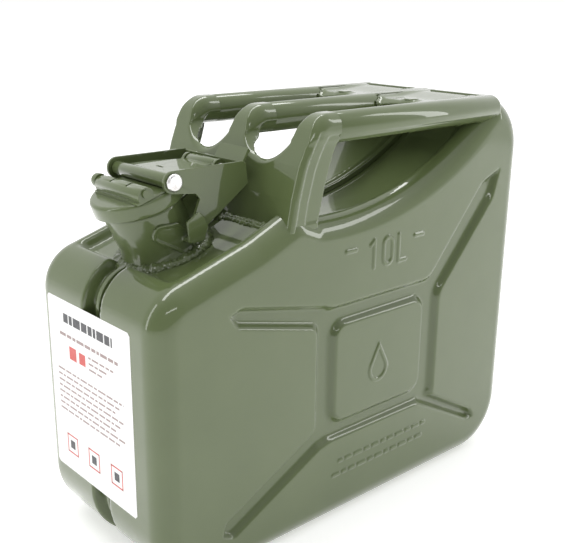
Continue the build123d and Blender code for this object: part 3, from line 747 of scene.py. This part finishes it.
def weld_bead(path, ups, radius, closed, lump, seed):
    """Points and faces of a hand-laid weld: overlapping ripples, uneven width, lumps."""
    around = 14
    count = len(path)
    points, faces = [], []
    travelled = 0.0
    for index, (here, up) in enumerate(zip(path, ups)):
        before = path[index - 1] if index or closed else path[0]
        after = path[(index + 1) % count] if index + 1 < count or closed else path[-1]
        run = (after - before).normalized()
        travelled += (here - before).length if index else 0.0
        side = run.cross(up).normalized()
        end = 1.0 if closed else min(1.0, (index + 0.3) / 4, (count - 0.7 - index) / 4)
        ripple = abs(math.sin(travelled * math.pi / RIPPLE + 2.2 * noise.noise(here * 0.11)))
        width = radius * end * (1.0 + 0.5 * noise.noise(here * 0.16 + Vector((seed, 0, 0))))
        for step in range(around):
            turn = 2 * math.pi * step / around
            spot = here + (side * math.cos(turn) * 1.4 + up * math.sin(turn) * 0.75) * width
            rough = noise.noise(spot * 0.5 + Vector((0, seed, 0)))
            rough += 0.7 * noise.noise(spot * 1.1 + Vector((0, seed, 4)))
            grow = 1.0 + lump * (0.8 * rough + 0.42 * ripple - 0.2)
            points.append(here + (spot - here) * grow)
    last = count if closed else count - 1
    for index in range(last):
        a, b = index * around, (index + 1) % count * around
        for step in range(around):
            following = (step + 1) % around
            faces.append((a + step, b + step, b + following, a + following))
    if not closed:
        faces.append(tuple(range(around)))
        faces.append(tuple(range((count - 1) * around, count * around))[::-1])
    return points, faces


def make_welds(paint):
    """The beads round the neck's foot and the ones along the handle bracket's foot."""
    beads = []
    steps = 260
    for out, size, seed in NECK_BEADS:
        path, ups = [], []
        for index in range(steps):
            turn = 2 * math.pi * index / steps
            top, depth = neck_wall_point(turn)
            outward = (top - NECK_TOP).normalized()
            wander = 1.1 * noise.noise(Vector((3 * math.cos(turn), 3 * math.sin(turn), seed)))
            path.append(top + NECK_DOWN * (depth + 0.3) + outward * (out + wander))
            ups.append((PANEL_UP + outward * 0.5).normalized())
        beads.append(weld_bead(path, ups, size, True, 0.6, seed))
    join_beads("neck_weld_bead", beads, paint, "neck_weld")
    low, high = node_box("bracket_weld")
    foot_x = (low.x + high.x) / 2
    beads = []
    steps = 130
    for out, size, seed in FOOT_BEADS:
        path, ups = [], []
        for index in range(steps):
            y = -FOOT_HALF + 2 * FOOT_HALF * index / (steps - 1)
            wander = 0.9 * noise.noise(Vector((y * 0.12, 0, seed)))
            x = foot_x - out + wander
            path.append(Vector((x, y, top_z(x, y) + 0.2)))
            ups.append((PANEL_UP + Vector((-0.3, 0, 0))).normalized())
        beads.append(weld_bead(path, ups, size, False, 0.7, seed))
    join_beads("bracket_weld_bead", beads, paint, "bracket_weld")


def top_z(x, y):
    """Height of the can's top wall at a point of the shoulder."""
    z = shoulder_z(x) + 8.0
    for _ in range(24):
        z -= float(can_field(np.array([x]), np.array([y]), np.array([z]))[0])
    return z


def join_beads(name, beads, paint, node):
    """One piece from several beads."""
    points, faces = [], []
    for bead_points, bead_faces in beads:
        start = len(points)
        points += bead_points
        faces += [tuple(index + start for index in face) for face in bead_faces]
    piece = make_piece(name, points, faces, paint, "can")
    recalculate(piece)
    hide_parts(node)


# ---------------------------------------------------------------- latches
# corners as x, z and rounding
HOOK = [
    (-121.5, 217.0, 1.5),
    (-110, 217.0, 1.5),
    (-107.5, 226, 1),
    (-111.5, 233.5, 1.5),
    (-116, 236.5, 1),
    (-124, 231, 1),
]
D_PLATE = [
    (-140.5, 219.2, 4.8),
    (-126.5, 212.0, 2),
    (-119.5, 207.5, 4),
    (-110.5, 210.0, 2),
    (-110.5, 220.5, 1),
    (-124.0, 229.0, 1),
    (-140.5, 229.0, 4.8),
]
HOOK_FOOT = HOOK[0][1]
TAB_AT, TAB_LEAN, LATCH_T = 33.5, 0.10, 1.6  # the hooked tab's distance out at its foot
LATCH_RIM = 0.7
WEB_AT, WEB_HALF, WEB_IN = (-116.0, 218.3), (5.0, 1.2), 24.0  # the web from plate to tab
LATCH_LOW, LATCH_HIGH = (-143.0, 20.0, 205.0), (-105.0, 39.0, 239.0)


def make_latches(paint):
    """Each latch: a rimmed plate wrapped on the neck, a web, and a hooked tab leaning out."""
    plate, hook = Outline(rounded_path(D_PLATE), 0.4, 4.0), Outline(rounded_path(HOOK), 0.4, 4.0)

    def field(x, y, z):
        wide = np.abs(y)
        flat = np.stack([part.ravel() for part in (x, y, z)], axis=1)
        off = ((neck_radius(flat) - 1.0) * NECK_RY).reshape(np.shape(x))
        shape = plate(x, z)
        rim = LATCH_RIM * smooth(shape + 2.2)
        base = np.maximum(shape, np.maximum(off - 1.1 - rim, -off - 0.4))
        tab_y = TAB_AT + LATCH_T / 2 + TAB_LEAN * (z - HOOK_FOOT)
        tab = np.maximum(hook(x, z), np.abs(wide - tab_y) - LATCH_T / 2)
        web = np.maximum(np.abs(x - WEB_AT[0]) - WEB_HALF[0], np.abs(z - WEB_AT[1]) - WEB_HALF[1])
        web = np.maximum(web, np.maximum(wide - tab_y, WEB_IN - wide))
        return soft_min(soft_min(base, web, 1.6), tab, 1.6)

    gap = 0.6
    for name, side in (("latch_near", -1), ("latch_far", 1)):
        low_y, high_y = sorted((side * LATCH_LOW[1], side * LATCH_HIGH[1]))
        low = (LATCH_LOW[0], low_y, LATCH_LOW[2])
        high = (LATCH_HIGH[0], high_y, LATCH_HIGH[2])
        points, faces = skin(field, low, high, gap)
        piece = make_piece(name + "_pressed", points, faces, paint, "can")
        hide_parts(name)


# ---------------------------------------------------------------- handle bracket
BRACKET_T = 1.6
FOOT_Z = 212.0
BRACKET_LINE = [(-71.5, FOOT_Z), (-71.5, 221.0), (-67.6, 242.0), (-61.8, 262.0)]
BRACKET_HEAD = (-48.5, 17.0)  # where the front line meets the top, and the bend's radius
# the flanges' rear edge, as z and x
FLANGE_LINE = [(221.0, -46.0), (250.0, -39.0), (275.0, -30.5), (282.0, -30.0), (300.0, -30.0)]
FLANGE_Y = 58.0  # outside this the posts run back as flanges, as far as the line above
FINGER_Y, FINGER_R, FINGER_Z = 31.0, 18.5, 280.5
PLATE_HOLES = ((24.0, 247.0), (9.0, 245.0))  # y and z of two small holes in the plate
PLATE_HOLE_R = 2.2
HEADS_LOW, HEADS_SPAN = 262.0, 18.0  # height where the posts start to widen to the tubes
ROLL_R = 3.6  # the rolled edge's radius on the plate; on the heads it is the tubes'
CREASES = ((1.3, 4.5), (0.7, 12.5))  # steps in the posts' flanks: size, distance behind
CREASE_RUN = 1.6


def tube_section():
    """Distance of the outer tubes' axes from the middle, and the tubes' radius."""
    low, high = node_box("handle_tube_near")
    return -(low.y + high.y) / 2, (high.z - low.z) / 2


def bracket_field():
    """The pressed bracket: crowned posts with rolled edges and side flanges."""
    end_x = node_box("handle_tube_near")[0].x
    low, high = node_box("handle_bracket")
    half = high.y
    corners = [(x, z, 0) for x, z in BRACKET_LINE]
    corners += [(BRACKET_HEAD[0], TUBE_TOP, BRACKET_HEAD[1]), (end_x + 40, TUBE_TOP, 0)]
    corners += [(end_x + 40, FOOT_Z, 0)]
    body = Outline(rounded_path(corners), gap=0.5, margin=8.0)
    flange_z, flange_x = zip(*FLANGE_LINE)
    tube_y, radius = tube_section()

    def field(x, y, z):
        depth = -body(x, z)
        wide = np.abs(y)
        upper = smooth((z - HEADS_LOW) / HEADS_SPAN)
        dy = np.abs(wide - FINGER_Y)
        finger = np.hypot(dy, np.minimum(z - FINGER_Z, 0)) - FINGER_R - 2.5 * upper
        inset = sum(size * smooth((depth - at) / CREASE_RUN) for size, at in CREASES)
        inset = inset * smooth((284 - z) / 5)
        outer = half + (tube_y + radius - half) * upper - wide - inset
        edge = np.minimum(finger, outer)
        rim = ROLL_R + (radius - ROLL_R) * smooth((x + 60) / 15) * smooth((z - HEADS_LOW) / 12)
        under = -rounded_corner(-depth, -edge, rim)
        sheet = np.abs(under - BRACKET_T / 2) - BRACKET_T / 2
        side_share = smooth((wide - FLANGE_Y) / 6)
        lip = depth - rim
        flange = x - np.interp(z, flange_z, flange_x)
        reach = lip + (flange - lip) * side_share
        sheet = np.maximum(sheet, reach)
        for hole_y, hole_z in PLATE_HOLES:
            sheet = np.maximum(sheet, PLATE_HOLE_R - np.hypot(y - hole_y, z - hole_z))
        below = z - TUBE_TOP + radius
        away = np.minimum(np.hypot(y, below), np.hypot(wide - tube_y, below))
        core = np.maximum(np.maximum(away - radius - 0.03, -under), x - end_x - 3.0)
        joined = soft_min(np.maximum(sheet, x - end_x), core, 3.0)
        joined = np.maximum(joined, wide - tube_y - radius - 0.3)
        return np.maximum(np.maximum(joined, -depth), low.z - z)

    return field, low, high


def make_bracket(paint):
    """The handle bracket's visible piece."""
    field, low, high = bracket_field()
    gap = 0.8
    start = (low.x - gap, -HALF_W - gap, low.z - gap)
    stop = (high.x + gap, HALF_W + gap, TUBE_TOP + gap)
    points, faces = skin(field, start, stop, gap)
    piece = make_piece("handle_bracket_pressed", points, faces, paint, "can")
    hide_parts("handle_bracket")


# ---------------------------------------------------------------- rear of the handles
END_REACH = 9.0  # how far a tube's rounded end runs back into the shells
BUTTON_R, BOSS_R = 5.5, 9.0  # the buttons stand on slightly raised bosses
BOSS_H, LIP_DROP, REAR_RISE = 0.9, 3.5, 2.2
FILLET = 5.0  # between the sheets and the tubes
REAR_OVERLAP = 10.0  # how far the sheets run on over the shells
REAR_FROM = 136.0  # behind this the sheets stay inside the can's outline


def make_bridges(paint):
    """The two sheets between the rear of the tubes, filleted up to the tubes."""
    tube_y, radius = tube_section()
    axis_z = node_box("handle_tube_near")[1].z - radius
    button_low, button_high = node_box("bridge_buttons")
    button_x, button_y = (button_low.x + button_high.x) / 2, button_high.y - BUTTON_R
    for name, side in (("rear_bridge_near", -1), ("rear_bridge_far", 1)):
        low, high = node_box(name)
        thick = high.z - low.z
        middle_z = (low.z + high.z) / 2

        def field(x, y, z):
            inner = np.hypot(y, z - axis_z) - radius
            outer = np.hypot(y - side * tube_y, z - axis_z) - radius
            rise = REAR_RISE * smooth((x - button_x - 10) / 36)
            from_button = np.hypot(x - button_x, np.abs(y) - button_y)
            boss = BOSS_H * smooth((BOSS_R - from_button) / 3.5)
            lip = LIP_DROP * smooth((low.x + 8 - x) / 8)
            plate = np.abs(z - middle_z - rise - boss + lip) - thick / 2
            front = low.x + 3.5 - 0.008 * (y - side * tube_y / 2) ** 2 - x
            plate = np.maximum(plate, np.maximum(front, x - high.x - REAR_OVERLAP))
            blended = soft_min(soft_min(plate, inner, FILLET), outer, FILLET)
            clear = np.minimum(inner, outer) - 0.02
            over = outline(x, z) - 0.4 - 90.0 * smooth((REAR_FROM - x) / 8)
            return np.maximum(
                np.maximum(blended, -clear), np.maximum(over, z - axis_z - radius + 0.4)
            )

        gap = 0.9
        start = (low.x - gap, min(0.0, side * tube_y), low.z - 6)
        stop = (high.x + REAR_OVERLAP, max(0.0, side * tube_y), high.z + 6)
        points, faces = skin(field, start, stop, gap)
        piece = make_piece(name + "_sheet", points, faces, paint, "can")
        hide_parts(name)


def make_tube_ends(paint):
    """The rounded rear ends of the handle tubes, where they run into the shells."""
    for name in ("near", "middle", "far"):
        low, high = node_box("handle_tube_" + name)
        radius = (high.y - low.y) / 2
        centre = (high.x - 1.0, (low.y + high.y) / 2, high.z - radius)

        def field(x, y, z):
            across = np.hypot(y - centre[1], z - centre[2])
            swell = np.hypot((x - centre[0]) * radius / END_REACH, across) - radius
            return np.maximum(swell, centre[0] - x)

        gap = 0.8
        start = [centre[0] - gap, centre[1] - radius - gap, centre[2] - radius - gap]
        stop = [centre[0] + END_REACH + gap, centre[1] + radius + gap, high.z + gap]
        points, faces = skin(field, start, stop, gap)
        make_piece("tube_end_" + name, points, faces, paint, "can")


# ---------------------------------------------------------------- label
LABEL_R = 2.0
HAZARD_Z, HAZARD_ROW = -42.0, (-28.0, 0.0, 28.0)  # three framed squares, from the middle


def make_label(paper, black, red, grey):
    """The stuck-on label, with plain generic blocks in place of print."""
    low, high = node_box("data_label")
    front = low.x
    middle_y, half_y = (low.y + high.y) / 2, (high.y - low.y) / 2
    middle_z, half_z = (low.z + high.z) / 2, (high.z - low.z) / 2
    quarters = ((-1, -1), (1, -1), (1, 1), (-1, 1))
    ring = rounded_path([(a * half_y, b * half_z, LABEL_R) for a, b in quarters])
    count = len(ring)
    points = [(front + 0.05, middle_y + y, middle_z + z) for y, z in ring]
    points += [(high.x, middle_y + y, middle_z + z) for y, z in ring]
    faces = [tuple(range(count))[::-1], tuple(range(count, 2 * count))]
    for index in range(count):
        following = (index + 1) % count
        faces.append((index, following, count + following, count + index))
    label = make_piece("label_sheet", points, faces, paper, "can", False)
    recalculate(label)
    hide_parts("data_label")

    def block(y, z, width, height):
        """Corners of a printed block, read from the front: y runs to the right."""
        corners = []
        for a, b in quarters:
            u, v = a * width / 2, b * height / 2
            corners.append((front + 0.01, middle_y - (y + u), middle_z + z + v))
        return corners

    def bars(spots):
        """Points and faces of printed blocks, each from its y, z, width and height."""
        points, faces = [], []
        for spot in spots:
            faces.append(tuple(range(len(points), len(points) + 4))[::-1])
            points += block(*spot)
        return points, faces

    def words(z, height, start, end, seed):
        """A row of short bars that stand in for words."""
        row, at, index = [], start, 0
        while at < end:
            width = min(3.0 + 6.0 * ((index * 5 + seed * 3) % 7) / 6, end - at)
            row.append((at + width / 2, z, width, height))
            at += width + 1.3
            index += 1
        return row

    title = words(50, 6.2, -30, 30, 1)
    heading = words(38, 2.2, -36, 36, 4)
    for row in range(3):
        heading += words(31 - 4 * row, 1.3, 0, 30 - 7 * row, row)
    text = []
    for row in range(8):
        text += words(12 - 4.2 * row, 1.3, -41, 40 - 5 * (row % 3), row + 2)
    panels = [(-20, 27, 9, 9), (-8, 27, 8, 8)]
    marks = []
    for y in HAZARD_ROW:
        for u, v in ((0, 6.5), (6.5, 0), (0, -6.5), (-6.5, 0)):
            size = (14, 1.1) if u == 0 else (1.1, 14)
            marks.append((y + u, HAZARD_Z + v, *size))
    dots = [(y, HAZARD_Z, 6.0, 6.0) for y in HAZARD_ROW]
    for name, spots, material in (
        ("label_title", title + dots, black),
        ("label_heading", heading, grey),
        ("label_text", text, grey),
        ("label_marks", marks + panels, red),
    ):
        points, faces = bars(spots)
        make_piece(name, points, faces, material, "can", False)


# ---------------------------------------------------------------- carried-over CAD nodes
SHARP = 38  # degrees: edges sharper than this are rounded
EDGE_WIDTHS = {  # the rounding's width on each node
    "mouth_collar": 0.3,
    "hinge_bracket": 0.4,
    "cap_cover": 0.3,
    "cap_strap": 0.4,
    "pin_sleeve": 0.3,
    "lever": 0.45,
    "locking_pin": 0.2,
    "seam_strip": 0.5,
    "handle_tube_near": 0.05,
    "handle_tube_middle": 0.05,
    "handle_tube_far": 0.05,
    "bridge_buttons": 0.2,
    "hinge_pin": 0.15,
    "lever_pin": 0.15,
    "cap_rivet": 0.15,
    "gasket_retainer": 0.2,
    "breather_tube": 0.1,
    "gasket": 0.2,
}


def soften_edges(node, width, paint):
    """Give a CAD node its material, and a small rounding on its sharp edges."""
    piece = frame["nodes"][node]
    piece.data.materials.clear()
    piece.data.materials.append(paint)
    weld = piece.modifiers.new("weld", "WELD")
    weld.merge_threshold = 0.01 * MM
    bevel = piece.modifiers.new("edge", "BEVEL")
    bevel.width = width * MM
    bevel.segments = 2
    bevel.limit_method = "ANGLE"
    bevel.angle_limit = math.radians(SHARP)


def main():
    make_camera()
    make_studio()
    paint, steel, black_rubber, paper = enamel(), zinc(), rubber(), film()
    finishes = {"olive_paint": paint, "zinc_steel": steel, "black_rubber": black_rubber}
    slots = {part["node"]: part["material_slot"] for part in frame["record"]["subparts"]}
    for node, width in EDGE_WIDTHS.items():
        soften_edges(node, width, finishes[slots[node]])
    make_shells(paint)
    make_neck(paint)
    make_welds(paint)
    make_latches(paint)
    make_bracket(paint)
    make_bridges(paint)
    make_tube_ends(paint)
    make_label(
        paper,
        ink("ink_black", (0.03, 0.03, 0.035)),
        ink("ink_red", (0.55, 0.06, 0.05)),
        ink("ink_grey", (0.30, 0.22, 0.21)),
    )
    bpy.context.view_layer.update()


main()
